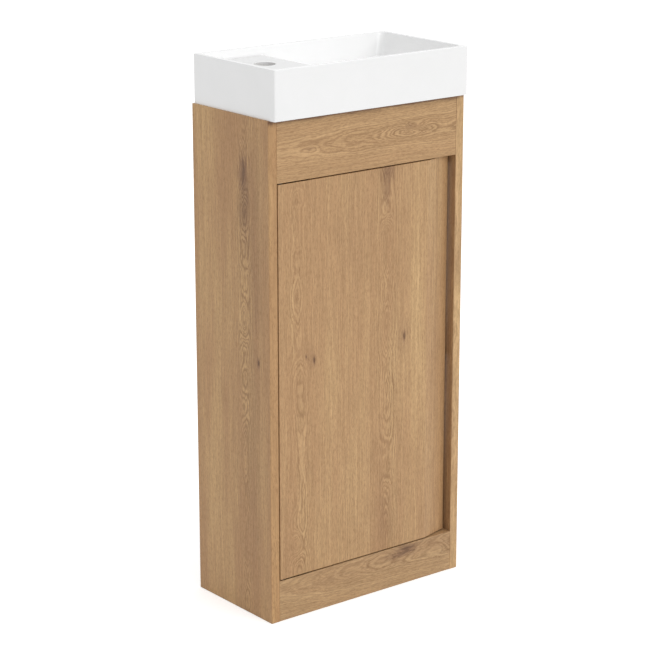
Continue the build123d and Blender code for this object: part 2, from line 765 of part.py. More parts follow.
# Push-open cartridge: a blind sleeve held in the bore by three ribs
cartridge_top_z = flange_top_z - cartridge_below_flange
with BuildPart() as waste_cartridge:
    cartridge_bottom_z = cartridge_top_z - cartridge_length
    with BuildSketch(Plane.XY.offset(cartridge_bottom_z)):
        with Locations((drain_x, drain_y)):
            with PolarLocations(waste_bore_radius / 2, 3):
                Rectangle(waste_bore_radius, cartridge_rib)
            Circle(waste_bore_radius - seat_play, mode=Mode.INTERSECT)
    extrude(amount=cartridge_rib_height)
    bar((drain_x, drain_y, cartridge_bottom_z), Z_UP, cartridge_radius, cartridge_length)
    sleeve_floor_z = cartridge_bottom_z + cartridge_floor
    bar((drain_x, drain_y, sleeve_floor_z), Z_UP, cartridge_bore_radius, cartridge_length, Mode.SUBTRACT)
waste_cartridge.part.label = "waste_cartridge"
export_step(waste_cartridge.part, "parts/waste_cartridge.step")

# Plug: a domed cap over the flange, a boss with a groove for the seal, and a stem
plug_under_z = flange_top_z + plug_lift + plug_travel
groove_top_z = plug_under_z - plug_groove_top
groove_bottom_z = groove_top_z - plug_groove_height
boss_bottom_z = plug_under_z - plug_boss_height
with BuildPart() as waste_plug:
    with BuildSketch(Plane(origin=drain_axis, x_dir=(1, 0, 0), z_dir=(0, -1, 0))) as plug_profile:
        with BuildLine():
            edge_top = (plug_radius, plug_under_z + plug_edge)
            crown = (0, plug_under_z + plug_edge + plug_rise)
            crown_radius = (plug_radius**2 + plug_rise**2) / (2 * plug_rise)
            RadiusArc(crown, edge_top, crown_radius)
            Polyline(
                edge_top,
                (plug_radius, plug_under_z),
                (plug_boss_radius, plug_under_z),
                (plug_boss_radius, groove_top_z),
                (plug_groove_radius, groove_top_z),
                (plug_groove_radius, groove_bottom_z),
                (plug_boss_radius, groove_bottom_z),
                (plug_boss_radius, boss_bottom_z),
                (plug_stem_radius, boss_bottom_z),
                (plug_stem_radius, flange_top_z - plug_stem_reach),
                (0, flange_top_z - plug_stem_reach),
                crown,
            )
        make_face()
    revolve(plug_profile.sketch, axis=Axis(drain_axis, Z_UP))
waste_plug.part.label = "waste_plug"
export_step(waste_plug.part, "parts/waste_plug.step")

# Ring seal in the groove of the plug
with BuildPart() as plug_seal:
    with Locations((drain_x, drain_y, (groove_top_z + groove_bottom_z) / 2)):
        Torus(plug_groove_radius + seal_play + seal_tube_radius, seal_tube_radius)
plug_seal.part.label = "plug_seal"
export_step(plug_seal.part, "parts/plug_seal.step")

# Heights down the bottle trap
dip_flange_bottom_z = waste_end_z - union_washer_thickness - dip_flange_thickness
neck_top_z = waste_end_z - neck_below_waste
neck_base_z = neck_top_z - neck_height
outlet_z = neck_top_z - outlet_below_neck
outlet_end_y = drain_y + outlet_reach
trap_bottom_z = outlet_z - body_below_outlet
dip_end_z = outlet_z - pipe_radius - trap_water_seal
cup_bottom_z = dip_end_z - cup_below_dip


def hand_nut(origin, direction, seat):
    """A ribbed hand nut over a thread that ends at the origin, with a lip beyond what it holds."""
    start = Plane(origin=origin, z_dir=direction).offset(-trap_nut_engagement)
    nut_radius = thread_radius + trap_nut_wall
    with BuildSketch(start) as outline:
        Circle(nut_radius)
        with PolarLocations(nut_radius, trap_nut_ribs):
            Circle(trap_nut_rib)
    extrude(outline.sketch, amount=trap_nut_engagement + seat + trap_nut_lip)
    bar(start.origin, direction, thread_radius + thread_play, trap_nut_engagement + seat, Mode.SUBTRACT)
    bar(origin, direction, pipe_radius + pipe_play, seat + trap_nut_lip, Mode.SUBTRACT)


def flat_ring(origin, direction, inner, outer, thickness):
    """A flat seal ring that starts at the origin."""
    bar(origin, direction, outer, thickness)
    bar(origin, direction, inner, thickness, Mode.SUBTRACT)


# Washer and nut that join the trap to the waste
with BuildPart() as trap_union_washer:
    flat_ring((drain_x, drain_y, waste_end_z), Z_DOWN, dip_tube_bore, thread_radius, union_washer_thickness)
trap_union_washer.part.label = "trap_union_washer"
export_step(trap_union_washer.part, "parts/trap_union_washer.step")

with BuildPart() as trap_union_nut:
    hand_nut((drain_x, drain_y, waste_end_z), Z_DOWN, union_washer_thickness + dip_flange_thickness)
trap_union_nut.part.label = "trap_union_nut"
export_step(trap_union_nut.part, "parts/trap_union_nut.step")

# Dip tube, which hangs by its flange and reaches down into the cup
with BuildPart() as trap_dip_tube:
    profile = [
        (dip_tube_bore, dip_end_z),
        (pipe_radius, dip_end_z),
        (pipe_radius, dip_flange_bottom_z),
        (thread_radius, dip_flange_bottom_z),
        (thread_radius, dip_flange_bottom_z + dip_flange_thickness),
        (dip_tube_bore, dip_flange_bottom_z + dip_flange_thickness),
    ]
    turned(profile, drain_axis, Z_UP)
trap_dip_tube.part.label = "trap_dip_tube"
export_step(trap_dip_tube.part, "parts/trap_dip_tube.step")

# Seal and nut on the neck of the trap, which grip the dip tube
with BuildPart() as trap_neck_seal:
    flat_ring((drain_x, drain_y, neck_top_z), Z_UP, pipe_radius + seat_play, thread_radius, trap_seal_thickness)
trap_neck_seal.part.label = "trap_neck_seal"
export_step(trap_neck_seal.part, "parts/trap_neck_seal.step")

with BuildPart() as trap_neck_nut:
    hand_nut((drain_x, drain_y, neck_top_z), Z_UP, trap_seal_thickness)
trap_neck_nut.part.label = "trap_neck_nut"
export_step(trap_neck_nut.part, "parts/trap_neck_nut.step")

# Body of the trap: a neck, a shoulder, an open bottom and an outlet socket towards the wall
with BuildPart() as trap_body:
    outside = [
        (0, trap_bottom_z),
        (trap_body_radius, trap_bottom_z),
        (trap_body_radius, neck_base_z - neck_shoulder),
        (thread_radius, neck_base_z),
        (thread_radius, neck_top_z),
        (0, neck_top_z),
    ]
    turned(outside, drain_axis, Z_UP)
    outlet_centre = (drain_x, drain_y, outlet_z)
    bar(outlet_centre, (0, 1, 0), thread_radius, outlet_reach)
    inside = [
        (0, trap_bottom_z),
        (trap_body_radius - trap_wall, trap_bottom_z),
        (trap_body_radius - trap_wall, neck_base_z - neck_shoulder - trap_wall / 2),
        (pipe_radius + pipe_play, neck_base_z - trap_wall),
        (pipe_radius + pipe_play, neck_top_z),
        (0, neck_top_z),
    ]
    turned(inside, drain_axis, Z_UP, Mode.SUBTRACT)
    bar(outlet_centre, (0, 1, 0), outlet_stop_radius, outlet_reach, Mode.SUBTRACT)
    socket_start = (drain_x, outlet_end_y - outlet_socket, outlet_z)
    bar(socket_start, (0, 1, 0), pipe_radius + pipe_play, outlet_socket, Mode.SUBTRACT)
trap_body.part.label = "trap_body"
export_step(trap_body.part, "parts/trap_body.step")

# Seal and nut of the outlet, which grip the waste pipe
with BuildPart() as trap_outlet_seal:
    outlet_end = (drain_x, outlet_end_y, outlet_z)
    flat_ring(outlet_end, (0, 1, 0), pipe_radius + pipe_play, thread_radius, trap_seal_thickness)
trap_outlet_seal.part.label = "trap_outlet_seal"
export_step(trap_outlet_seal.part, "parts/trap_outlet_seal.step")

with BuildPart() as trap_outlet_nut:
    hand_nut((drain_x, outlet_end_y, outlet_z), (0, 1, 0), trap_seal_thickness)
trap_outlet_nut.part.label = "trap_outlet_nut"
export_step(trap_outlet_nut.part, "parts/trap_outlet_nut.step")

# Seal between the body and the cup
with BuildPart() as trap_cup_seal:
    seal_top = (drain_x, drain_y, trap_bottom_z)
    flat_ring(seal_top, Z_DOWN, trap_body_radius - trap_wall, trap_body_radius, cup_seal_thickness)
trap_cup_seal.part.label = "trap_cup_seal"
export_step(trap_cup_seal.part, "parts/trap_cup_seal.step")

# Cup that screws on to the bottom of the trap and comes off for cleaning
with BuildPart() as trap_cup:
    cup_top_z = trap_bottom_z + cup_overlap
    bar((drain_x, drain_y, cup_bottom_z), Z_UP, cup_radius, cup_top_z - cup_bottom_z)
    fillet(trap_cup.edges().sort_by(Axis.Z)[0], cup_round)
    with BuildSketch(Plane.XY.offset(cup_bottom_z + cup_round)):
        with Locations((drain_x, drain_y)):
            with PolarLocations(cup_radius, cup_ribs):
                Circle(cup_rib)
    extrude(amount=cup_top_z - cup_bottom_z - cup_round)
    thread_start = (drain_x, drain_y, trap_bottom_z - cup_seal_thickness)
    thread_length = cup_overlap + cup_seal_thickness
    bar(thread_start, Z_UP, trap_body_radius + thread_play, thread_length, Mode.SUBTRACT)
    well_start = (drain_x, drain_y, cup_bottom_z + cup_floor)
    well_depth = cup_top_z - cup_bottom_z - cup_floor
    bar(well_start, Z_UP, trap_body_radius - trap_wall, well_depth, Mode.SUBTRACT)
trap_cup.part.label = "trap_cup"
export_step(trap_cup.part, "parts/trap_cup.step")
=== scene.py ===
# %% [markdown]
# # A cloakroom vanity unit: oak cabinet, ceramic basin, hidden plumbing
# The shapes of this unit come from its CAD model, which is loaded as a fixed frame: every node is in
# metres, at the place that it has in the real cabinet. What is left for Blender is how it looks: the oak
# with its knots, the glaze of the basin, the metal of the screws, and the light that shows them.

import json
import math

import bmesh
import bpy
from mathutils import Matrix, Vector

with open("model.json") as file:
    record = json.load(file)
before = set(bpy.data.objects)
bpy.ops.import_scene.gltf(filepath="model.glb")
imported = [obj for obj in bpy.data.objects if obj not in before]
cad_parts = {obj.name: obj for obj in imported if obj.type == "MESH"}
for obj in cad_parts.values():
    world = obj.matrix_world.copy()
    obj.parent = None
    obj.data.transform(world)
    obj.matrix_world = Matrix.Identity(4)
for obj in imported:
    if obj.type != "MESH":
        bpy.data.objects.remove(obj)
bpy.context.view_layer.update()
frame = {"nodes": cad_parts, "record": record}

# %% [markdown]
# ## Small tools for building materials
# A material is a tree of nodes. Adding a node, setting its values and linking it takes several lines each
# time, so three helpers do it: one adds a node, one joins two sockets, and one starts a node group with
# named inputs and outputs. An effect that several finishes share is built once as such a group.

# %% Add nodes, join them and group them


def add_node(tree, kind, settings=None, values=None):
    """A new node, with its settings by name and the values of its input sockets."""
    node = tree.nodes.new(kind)
    for name, value in (settings or {}).items():
        setattr(node, name, value)
    for socket, value in (values or {}).items():
        node.inputs[socket].default_value = value
    return node


def join(tree, source, target):
    """Links an output socket to an input socket."""
    tree.links.new(source, target)


def new_group(name, inputs, outputs):
    """A shader node group with named sockets, and its two end nodes."""
    group = bpy.data.node_groups.new(name, "ShaderNodeTree")
    for label, kind, value in inputs:
        socket = group.interface.new_socket(label, in_out="INPUT", socket_type=kind)
        socket.default_value = value
    for label, kind in outputs:
        group.interface.new_socket(label, in_out="OUTPUT", socket_type=kind)
    return group, group.nodes.new("NodeGroupInput"), group.nodes.new("NodeGroupOutput")


print("three helpers for nodes are ready")

# %% [markdown]
# ## Sums, noise and colours
# Four more helpers stand for the nodes that the finishes need again and again: a sum, noise, a mix of two
# colours, and a ramp from one level to another. What wood shows is far longer than it is wide, so the noise is
# drawn out: the position is scaled by another number on each axis before the noise reads it.

# %% Work with numbers and colours


def math_node(tree, operation, first, second=None, third=None, clamp=False):
    """A Math node whose inputs are sockets or plain numbers. Returns its output."""
    node = add_node(tree, "ShaderNodeMath", {"operation": operation, "use_clamp": clamp})
    for number, value in enumerate((first, second, third)):
        if value is None:
            continue
        if isinstance(value, bpy.types.NodeSocket):
            join(tree, value, node.inputs[number])
        else:
            node.inputs[number].default_value = value
    return node.outputs["Value"]


def stretched_noise(tree, position, stretch, detail, roughness, seed=None):
    """Noise that is drawn out along an axis, because the position is scaled before it is read."""
    scaled = add_node(tree, "ShaderNodeVectorMath", {"operation": "MULTIPLY"}, {1: stretch})
    join(tree, position, scaled.inputs[0])
    noise = add_node(
        tree, "ShaderNodeTexNoise", {"noise_dimensions": "4D"},
        {"Scale": 1.0, "Detail": detail, "Roughness": roughness},
    )
    join(tree, scaled.outputs["Vector"], noise.inputs["Vector"])
    if isinstance(seed, bpy.types.NodeSocket):
        join(tree, seed, noise.inputs["W"])
    elif seed is not None:
        noise.inputs["W"].default_value = seed
    return noise.outputs["Fac"]


# The Mix node has sockets for several kinds of value. These are the numbers of its colour sockets.
MIX_FIRST, MIX_SECOND, MIX_RESULT = 6, 7, 2


def mix_colours(tree, factor, first, second, blend="MIX"):
    """A colour between two colours, by a factor. Each may be a socket or a plain colour."""
    node = add_node(tree, "ShaderNodeMix", {"data_type": "RGBA", "blend_type": blend})
    for socket, value in (("Factor", factor), (MIX_FIRST, first), (MIX_SECOND, second)):
        if isinstance(value, bpy.types.NodeSocket):
            join(tree, value, node.inputs[socket])
        else:
            node.inputs[socket].default_value = value
    return node.outputs[MIX_RESULT]


def ramp(tree, value, start, end, low=0.0, high=1.0, smooth=False):
    """Spreads a value that runs from start to end over low to high, and cuts off what lies outside."""
    kind = "SMOOTHSTEP" if smooth else "LINEAR"
    limits = {"From Min": start, "From Max": end, "To Min": low, "To Max": high}
    node = add_node(tree, "ShaderNodeMapRange", {"interpolation_type": kind}, limits)
    join(tree, value, node.inputs["Value"])
    return node.outputs["Result"]


print("helpers for sums, noise and colours are ready")

# %% [markdown]
# ## How oak grain comes about
# A board shows its growth rings cut by its face. Where the face lies close over the heart of the tree, and
# the heart rises and falls along the board, the rings come out as nested arches, which joiners call
# cathedrals. So the pattern isn't drawn as stripes: the distance from the heart is worked out in space, as
# in real wood, and the rings are read from that distance. Faces and edges of a board then agree.

# %% The rings of a board
rings, rings_in, rings_out = new_group(
    "oak_rings",
    [
        ("Position", "NodeSocketVector", (0, 0, 0)),
        ("Heart", "NodeSocketVector", (0, 0.03, 0)),
        ("Lean", "NodeSocketFloat", 0.0),
        ("Wander", "NodeSocketFloat", 0.01),
        ("Seed", "NodeSocketFloat", 0.0),
    ],
    [("Distance", "NodeSocketFloat")],
)
place, wander, ring_seed = (rings_in.outputs[name] for name in ("Position", "Wander", "Seed"))
from_heart = add_node(rings, "ShaderNodeVectorMath", {"operation": "SUBTRACT"})
join(rings, place, from_heart.inputs[0])
join(rings, rings_in.outputs["Heart"], from_heart.inputs[1])
offset = add_node(rings, "ShaderNodeSeparateXYZ")
join(rings, from_heart.outputs["Vector"], offset.inputs["Vector"])
print("started the group", rings.name)

# %% How the heart and the rings wander
# Each stretch says how often the noise changes in a metre: across, into and along the grain.
RISE_STRETCH, SWAY_STRETCH = (2, 2, 7.5), (3, 3, 5)
RIPPLE_STRETCH, RIPPLE_HEIGHT = (75, 75, 15), 0.0056
FIBRE_STRETCH, FIBRE_HEIGHT = (420, 420, 34), 0.0022


def unevenness(stretch, detail, roughness, noise_seed):
    """Drawn-out noise about zero, for the rings."""
    noise = stretched_noise(rings, place, stretch, detail, roughness, noise_seed)
    return math_node(rings, "SUBTRACT", noise, 0.5)


rise = unevenness(RISE_STRETCH, 2.0, 0.5, ring_seed)
sway = unevenness(SWAY_STRETCH, 1.0, 0.4, math_node(rings, "ADD", ring_seed, 7.0))
ripple = unevenness(RIPPLE_STRETCH, 4.0, 0.7, ring_seed)
frayed_fibre = unevenness(FIBRE_STRETCH, 3.0, 0.6, ring_seed)
print("rings ripple by up to", RIPPLE_HEIGHT * 500, "mm to each side")

# %% The distance from the heart
across = math_node(rings, "MULTIPLY_ADD", math_node(rings, "MULTIPLY", sway, wander), 2.0, offset.outputs["X"])
depth = math_node(rings, "MULTIPLY_ADD", offset.outputs["Z"], rings_in.outputs["Lean"], offset.outputs["Y"])
depth = math_node(rings, "MULTIPLY_ADD", math_node(rings, "MULTIPLY", rise, wander), 4.0, depth)
squares = math_node(rings, "MULTIPLY_ADD", across, across, math_node(rings, "MULTIPLY", depth, depth))
distance = math_node(rings, "MULTIPLY_ADD", ripple, RIPPLE_HEIGHT, math_node(rings, "SQRT", squares))
distance = math_node(rings, "MULTIPLY_ADD", frayed_fibre, FIBRE_HEIGHT, distance)
join(rings, distance, rings_out.inputs["Distance"])
print("built the group", rings.name, "of", len(rings.nodes), "nodes")

# %% [markdown]
# ## Knots and stains
# Where a branch grew, the rings bend round it and close into an eye. A bump that is added to the distance
# from the heart does the same. The group gives that bump, and masks of the stain round the knot and of its dark
# core, both frayed along the grain.

# %% A knot in the grain
knot, knot_in, knot_out = new_group(
    "oak_knot",
    [
        ("Position", "NodeSocketVector", (0, 0, 0)),
        ("Centre", "NodeSocketVector", (0, 0, 0)),
        ("Spread", "NodeSocketVector", (0.02, 0.2, 0.04)),
    ],
    [("Bump", "NodeSocketFloat"), ("Stain", "NodeSocketFloat"), ("Core", "NodeSocketFloat")],
)
from_knot = add_node(knot, "ShaderNodeVectorMath", {"operation": "SUBTRACT"})
join(knot, knot_in.outputs["Position"], from_knot.inputs[0])
join(knot, knot_in.outputs["Centre"], from_knot.inputs[1])
in_spreads = add_node(knot, "ShaderNodeVectorMath", {"operation": "DIVIDE"})
join(knot, from_knot.outputs["Vector"], in_spreads.inputs[0])
join(knot, knot_in.outputs["Spread"], in_spreads.inputs[1])
reach = add_node(knot, "ShaderNodeVectorMath", {"operation": "LENGTH"})
join(knot, in_spreads.outputs["Vector"], reach.inputs[0])
near_knot = math_node(knot, "MULTIPLY", reach.outputs["Value"], reach.outputs["Value"])
bump = math_node(knot, "EXPONENT", math_node(knot, "MULTIPLY", near_knot, -1.0))
join(knot, bump, knot_out.inputs["Bump"])
print("started the group", knot.name)

# %% The frayed stain and the core
FRAY_STRETCH, FRAY_AMOUNT = (230, 230, 26), 1.5
fray = stretched_noise(knot, knot_in.outputs["Position"], FRAY_STRETCH, 3.0, 0.6)
frayed = math_node(knot, "SUBTRACT", fray, 0.5)
frayed = math_node(knot, "MULTIPLY_ADD", frayed, FRAY_AMOUNT, reach.outputs["Value"])
# Each mask ends at the first reach and is full from the second inwards. A reach of 1 is one spread.
for label, ends, full in (("Stain", 1.05, 0.1), ("Core", 0.42, 0.12)):
    join(knot, ramp(knot, frayed, ends, full, smooth=True), knot_out.inputs[label])
print("built the group", knot.name, "of", len(knot.nodes), "nodes")

# %% [markdown]
# ## From rings to the colour of the board
# Early in each year oak grows wide pores, which cut as short dark dashes, and later a dense, paler wood. No two
# years are alike, so the tone of the rings is noise along the distance from the heart, and not a
# regular wave. Over that come the dashes of the pores, fine fibre streaks, and slow changes of tone.

# %% Ring tones
figure, figure_in, figure_out = new_group(
    "oak_figure",
    [
        ("Position", "NodeSocketVector", (0, 0, 0)),
        ("Distance", "NodeSocketFloat", 0.0),
        ("Ring Width", "NodeSocketFloat", 0.002),
        ("Pinkness", "NodeSocketFloat", 0.5),
        ("Seed", "NodeSocketFloat", 0.0),
    ],
    [("Colour", "NodeSocketColor"), ("Dashes", "NodeSocketFloat")],
)
spot, seed = figure_in.outputs["Position"], figure_in.outputs["Seed"]
years = math_node(figure, "DIVIDE", figure_in.outputs["Distance"], figure_in.outputs["Ring Width"])


def ring_noise(scale, low, high):
    """Noise that only changes from ring to ring, spread over 0 to 1."""
    settings = {"noise_dimensions": "1D"}
    noise = add_node(figure, "ShaderNodeTexNoise", settings, {"Scale": scale, "Detail": 2.0})
    join(figure, math_node(figure, "ADD", years, seed), noise.inputs["W"])
    return ramp(figure, noise.outputs["Fac"], low, high)


fine_rings = ring_noise(0.95, 0.36, 0.66)
broad_rings = ring_noise(0.22, 0.35, 0.65)
print("the tone of the rings changes once a year and once in about five years")

# %% The dark line of each year
# The line starts sharply, where the pores of spring begin, and fades out towards the summer. It is clearest
# where the board lies close to the heart.
NEAR_HEART, FAR_FROM_HEART, FAR_STRENGTH = 0.010, 0.045, 0.38
uneven_years = math_node(figure, "MULTIPLY_ADD", broad_rings, 0.8, years)
ring_edge = add_node(figure, "ShaderNodeValToRGB")
edge_stops = ring_edge.color_ramp.elements
edge_stops[0].position, edge_stops[0].color = 0.0, (0.1, 0.1, 0.1, 1)
edge_stops[1].position, edge_stops[1].color = 1.0, (0.1, 0.1, 0.1, 1)
for place_in_year, level in ((0.18, 1.0), (0.38, 0.8), (0.62, 0.05)):
    edge_stops.new(place_in_year).color = (level, level, level, 1)
join(figure, math_node(figure, "FRACT", uneven_years), ring_edge.inputs["Fac"])
from_middle = figure_in.outputs["Distance"]
flat_cut = ramp(figure, from_middle, FAR_FROM_HEART, NEAR_HEART, low=FAR_STRENGTH, smooth=True)
ring_lines = math_node(figure, "MULTIPLY", ring_edge.outputs["Color"], flat_cut)
print("stops in a year's line:", len(edge_stops))

# %% Pores, fibres and slow tones


def patches(stretch, low, high, detail=2.0):
    """Drawn-out noise, spread over 0 to 1 between two levels."""
    return ramp(figure, stretched_noise(figure, spot, stretch, detail, 0.6, seed), low, high, smooth=True)


fine_pores = patches((1500, 1500, 170), 0.55, 0.69)
flecks = patches((560, 560, 120), 0.47, 0.60)
streaks = patches((330, 330, 18), 0.36, 0.64, 4.0)
slow_tone = patches((15, 15, 1.6), 0.40, 0.62, 3.0)
dashes = math_node(figure, "MAXIMUM", fine_pores, math_node(figure, "MULTIPLY", flecks, 0.6))
join(figure, dashes, figure_out.inputs["Dashes"])
print("pores, flecks, fibre streaks and slow tones are laid over the rings")

# %% Mix the colours of the board
PALE_OAK = (0.662, 0.432, 0.217, 1)
DEEP_OAK = (0.440, 0.258, 0.114, 1)
RING_OAK = (0.300, 0.165, 0.070, 1)
PINK_OAK = (0.445, 0.252, 0.122, 1)
PORE_OAK = (0.255, 0.135, 0.058, 1)
STREAK_LOW, STREAK_HIGH = (0.90, 0.89, 0.87, 1), (1.06, 1.06, 1.06, 1)
PORE_STRENGTH, PORES_IN_LATE_WOOD = 0.74, 0.4
colour = PALE_OAK
for mask, strength, target in (
    (fine_rings, 0.42, DEEP_OAK),
    (broad_rings, 0.32, DEEP_OAK),
    (ring_lines, 0.90, RING_OAK),
    (slow_tone, figure_in.outputs["Pinkness"], PINK_OAK),
):
    colour = mix_colours(figure, math_node(figure, "MULTIPLY", mask, strength), colour, target)
streak_colour = mix_colours(figure, streaks, STREAK_LOW, STREAK_HIGH)
colour = mix_colours(figure, 1.0, colour, streak_colour, "MULTIPLY")
pore_share = math_node(figure, "MULTIPLY_ADD", fine_rings, 1 - PORES_IN_LATE_WOOD, PORES_IN_LATE_WOOD)
pores_here = math_node(figure, "MULTIPLY", dashes, pore_share)
colour = mix_colours(figure, math_node(figure, "MULTIPLY", pores_here, PORE_STRENGTH), colour, PORE_OAK)
join(figure, colour, figure_out.inputs["Colour"])
print("built the group", figure.name, "of", len(figure.nodes), "nodes")

# %% [markdown]
# ## One material for each board
# Each board is cut from another place in the tree, so it gets its own heart lines, its own knots and its own
# direction of grain. The Mapping node turns the board's axes into across, into and along the grain. The
# film on the board is satin: middling roughness, with the pores a little rougher and pressed in very slightly.

# %% Marks on a board
# The colour that a mark darkens towards: a stain in the grain, and painted shade where a mark stands for shade
# under the basin, beside the grip and on the lower door.
STAIN_AND_SHADE = (0.46, 0.39, 0.40, 1)
KNOT_HEART = (0.30, 0.25, 0.24, 1)
LIGHT_WOOD = (1.10, 1.13, 1.13, 1)


def add_marks(tree, position, distance_here, marks):
    """Adds knots, stains, painted shade and pale strips. Returns the bent distance and the tint of the marks.
    A mark has its centre and spread (across, into, along), its pull on the rings, its darkening, which is a
    stain in some marks and painted shade in others, and its core.
    A darkening below zero makes a pale strip."""
    tint = None
    for centre, spread, pull, stain_and_shade, core in marks:
        eye = add_node(tree, "ShaderNodeGroup", {"node_tree": knot}, {"Centre": centre, "Spread": spread})
        join(tree, position, eye.inputs["Position"])
        if pull:
            distance_here = math_node(tree, "MULTIPLY_ADD", eye.outputs["Bump"], pull, distance_here)
        layers = (("Stain", stain_and_shade, STAIN_AND_SHADE), ("Core", core, KNOT_HEART), ("Bump", -stain_and_shade, LIGHT_WOOD))
        for output, amount, target in layers:
            if amount > 0:
                factor = math_node(tree, "MULTIPLY", eye.outputs[output], amount, clamp=True)
                tint = mix_colours(tree, factor, tint or (1, 1, 1, 1), target)
    return distance_here, tint


print("a stain darkens red to", STAIN_AND_SHADE[0], "of what it was")

# %% The satin film
FILM_ROUGHNESS, PORE_ROUGHNESS, FILM_GLOSS = 0.46, 0.62, 0.4
PORE_RELIEF = {"Strength": 0.3, "Distance": 0.0002}


def finish_film(tree, shader, pressed_in):
    """The satin film: pores are slightly rougher and lie a few hundredths of a millimetre deep."""
    shader.inputs["Specular IOR Level"].default_value = FILM_GLOSS
    rough = ramp(tree, pressed_in, 0.0, 1.0, FILM_ROUGHNESS, PORE_ROUGHNESS)
    join(tree, rough, shader.inputs["Roughness"])
    relief = add_node(tree, "ShaderNodeBump", {"invert": True}, PORE_RELIEF)
    join(tree, pressed_in, relief.inputs["Height"])
    join(tree, relief.outputs["Normal"], shader.inputs["Normal"])


print("film roughness:", FILM_ROUGHNESS, "to", PORE_ROUGHNESS)

# %% Make an oak material
X_AXIS, Y_AXIS, Z_AXIS = Vector((1, 0, 0)), Vector((0, 1, 0)), Vector((0, 0, 1))
RING_WIDTH, HEART_BLEND = 0.002, 0.02


def nearest_heart(tree, position, hearts, wander, seed):
    """The distance from the nearest of a board's hearts, with the change from one to the next made soft."""
    distance_here = None
    for number, (heart_across, heart_depth, lean) in enumerate(hearts):
        values = {"Heart": (heart_across, heart_depth, 0), "Lean": lean, "Wander": wander}
        values["Seed"] = seed + 3 * number
        tree_rings = add_node(tree, "ShaderNodeGroup", {"node_tree": rings}, values)
        join(tree, position, tree_rings.inputs["Position"])
        this_one = tree_rings.outputs["Distance"]
        if distance_here is None:
            distance_here = this_one
        else:
            distance_here = math_node(tree, "SMOOTH_MIN", distance_here, this_one, HEART_BLEND)
    return distance_here


def oak(name, across_axis, depth_axis, hearts, seed, marks=(), wander=0.012, pinkness=0.5, sheet_tone=None):
    """An oak finish. A heart is a line of the tree: its place across and into the board, and its lean."""
    material = bpy.data.materials.new(name)
    material.use_nodes = True
    tree = material.node_tree
    shader = tree.nodes["Principled BSDF"]
    coordinates = add_node(tree, "ShaderNodeTexCoord")
    turn = Matrix((across_axis, depth_axis, across_axis.cross(depth_axis))).to_euler()
    along_grain = add_node(tree, "ShaderNodeMapping", None, {"Rotation": turn})
    join(tree, coordinates.outputs["Object"], along_grain.inputs["Vector"])
    position = along_grain.outputs["Vector"]
    distance_here = nearest_heart(tree, position, hearts, wander, seed)
    distance_here, tint = add_marks(tree, position, distance_here, marks)
    values = {"Ring Width": RING_WIDTH, "Pinkness": pinkness, "Seed": seed}
    cut = add_node(tree, "ShaderNodeGroup", {"node_tree": figure}, values)
    join(tree, position, cut.inputs["Position"])
    join(tree, distance_here, cut.inputs["Distance"])
    colour = cut.outputs["Colour"]
    for layer in (tint, sheet_tone):
        if layer is not None:
            colour = mix_colours(tree, 1.0, colour, layer, "MULTIPLY")
    join(tree, colour, shader.inputs["Base Color"])
    finish_film(tree, shader, cut.outputs["Dashes"])
    return material


print("one year's ring is", RING_WIDTH * 1000, "mm wide")

# %% [markdown]
# ## Place the boards in the tree
# The side panels and the door have upright grain, and the rail and the plinth have grain across. The long
# stain on the left panel, the small knots of the door, the nest of rings on the rail and the dark knot at the
# right of the plinth are what one notices first, so they are placed by measure. The rest of the figure follows
# from the heart lines. Some marks are painted shade: a dark band on the boards just under the basin's overhang,
# a darker sheet and a darker chamfer beside the grip, and a door that darkens towards its bottom. Other marks
# make the front edges of the side panels paler. A sheet tone tells one board from the next. All
# places are in metres, read across, into and along the grain of the board.

# %% Oak for the side panels
left_panel_oak = oak(
    "left_panel_oak", Y_AXIS, -X_AXIS, [(-0.030, 0.189, 0.0)], seed=3.0, pinkness=0.8,
    sheet_tone=(0.955, 0.920, 0.855, 1),
    marks=[
        ((-0.029, 0.2, 0.738), (0.015, 0.2, 0.040), 0.012, 0.90, 1.0),
        ((-0.031, 0.2, 0.700), (0.022, 0.2, 0.110), 0.003, 0.62, 0.0),
        ((-0.060, 0.2, 0.640), (0.030, 0.2, 0.260), 0.0, 0.28, 0.0),
        ((-0.030, 0.2, 0.620), (0.009, 0.2, 0.026), 0.010, 0.25, 0.0),
        ((-0.028, 0.2, 0.500), (0.009, 0.2, 0.034), 0.012, 0.15, 0.0),
        ((-0.027, 0.2, 0.355), (0.010, 0.2, 0.038), 0.011, 0.0, 0.0),
        ((-0.065, 0.2, 0.437), (0.006, 0.2, 0.013), 0.006, 0.70, 1.0),
        ((-0.052, 0.2, 0.300), (0.026, 0.2, 0.40), 0.0, 0.22, 0.0),
        ((0.072, 0.2, 0.400), (0.030, 0.2, 3.0), 0.0, -0.7, 0.0),
        ((-0.095, 0.2, 0.400), (0.0015, 0.2, 3.0), 0.0, -0.9, 0.0),
        # Painted shadow: a dark band on the front edge just under the basin's overhang.
        ((-0.095, 0.2, 0.829), (0.0030, 0.2, 0.0080), 0.0, 1.0, 0.0),
    ],
)
right_panel_oak = oak(
    "right_panel_oak", Y_AXIS, -X_AXIS, [(0.040, -0.214, 0.0)], seed=11.0, pinkness=0.6,
    marks=[
        ((0.045, -0.2, 0.300), (0.010, 0.2, 0.030), 0.010, 0.6, 0.7),
        ((-0.020, -0.2, 0.610), (0.010, 0.2, 0.050), 0.007, 0.2, 0.0),
        # Painted shade: a darker sheet on the inner face beside the grip, where it lies in shade.
        ((-0.078, -0.184, 0.450), (0.040, 0.0012, 3.0), 0.0, 0.66, 0.0),
        ((-0.095, -0.194, 0.450), (0.0015, 0.006, 3.0), 0.0, -0.6, 0.0),
        # Painted shadow: a dark band on the front edge just under the basin's overhang.
        ((-0.095, -0.2, 0.829), (0.0030, 0.2, 0.0080), 0.0, 1.0, 0.0),
        ((-0.095, -0.2, 0.560), (0.030, 0.05, 0.060), 0.0, 0.18, 0.0),
    ],
)

